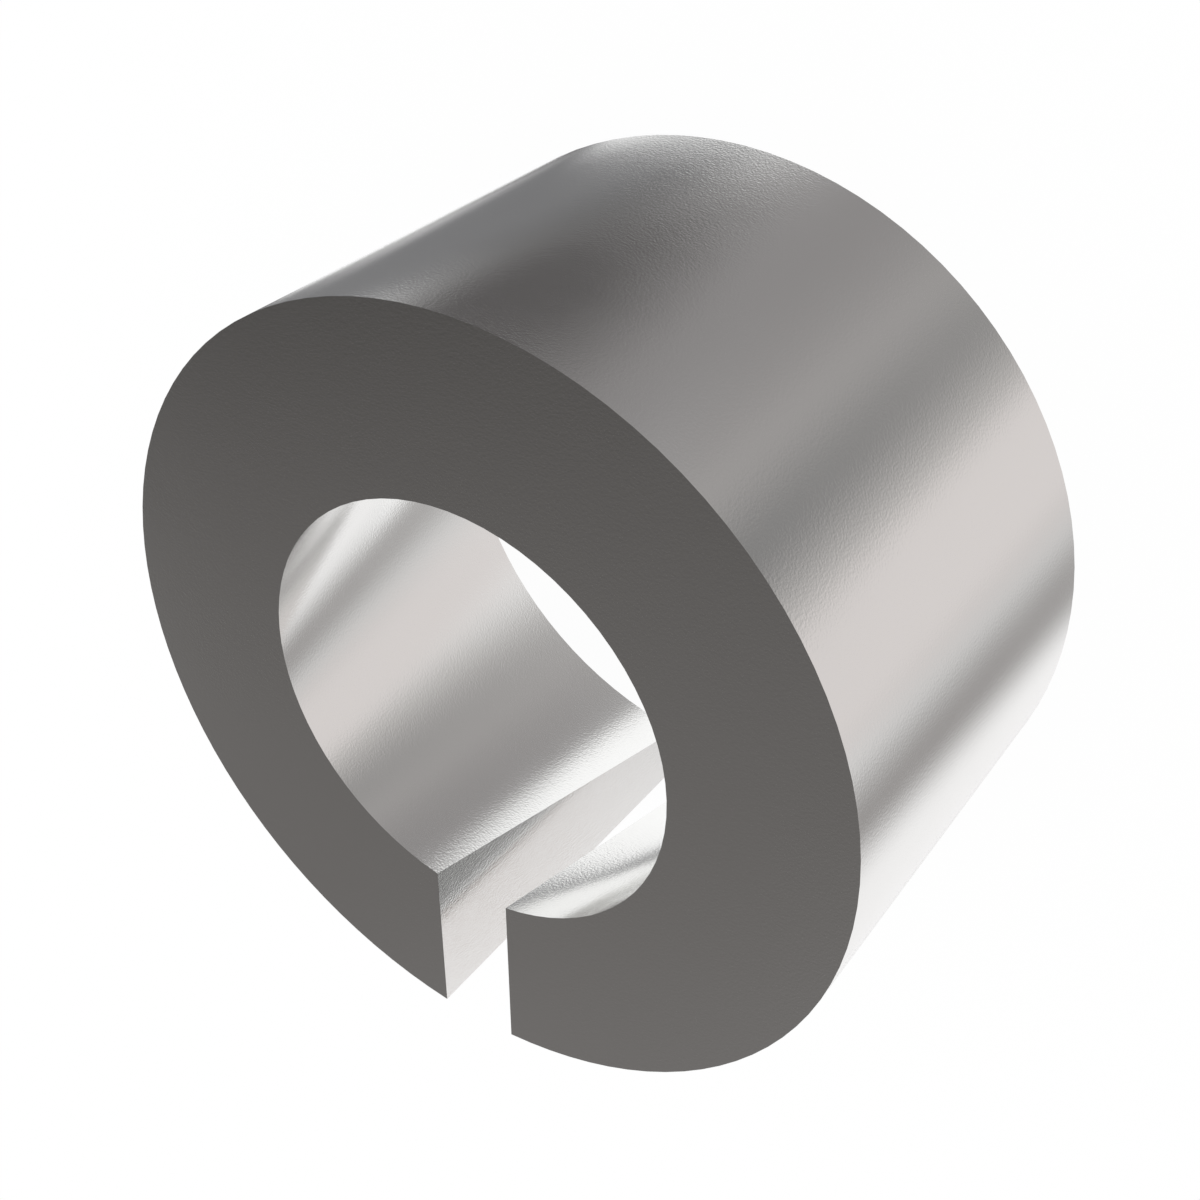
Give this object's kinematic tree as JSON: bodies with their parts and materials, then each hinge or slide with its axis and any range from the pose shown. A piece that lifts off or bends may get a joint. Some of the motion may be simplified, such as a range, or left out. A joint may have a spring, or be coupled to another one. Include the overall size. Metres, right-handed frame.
{
  "type": "tapered sleeve",
  "caption": "Round split sleeve with a plain cylindrical outside, a conical through bore and a straight slot along its length; a cone pulled into the bore spreads it in its hole.",
  "frame": {"origin": "on the bore axis, in the plane of the wide end of the bore", "axes": "+Z along the bore axis, from the wide end to the small end; the slot faces -Y"},
  "size_m": [0.02, 0.0199, 0.0112],
  "materials": {
    "steel": "satin steel, finely turned outside, in the bore and on both ends, sawn on the slot's two walls"
  },
  "bodies": {
    "root": {"sleeve": "steel"}
  },
  "joints": []
}
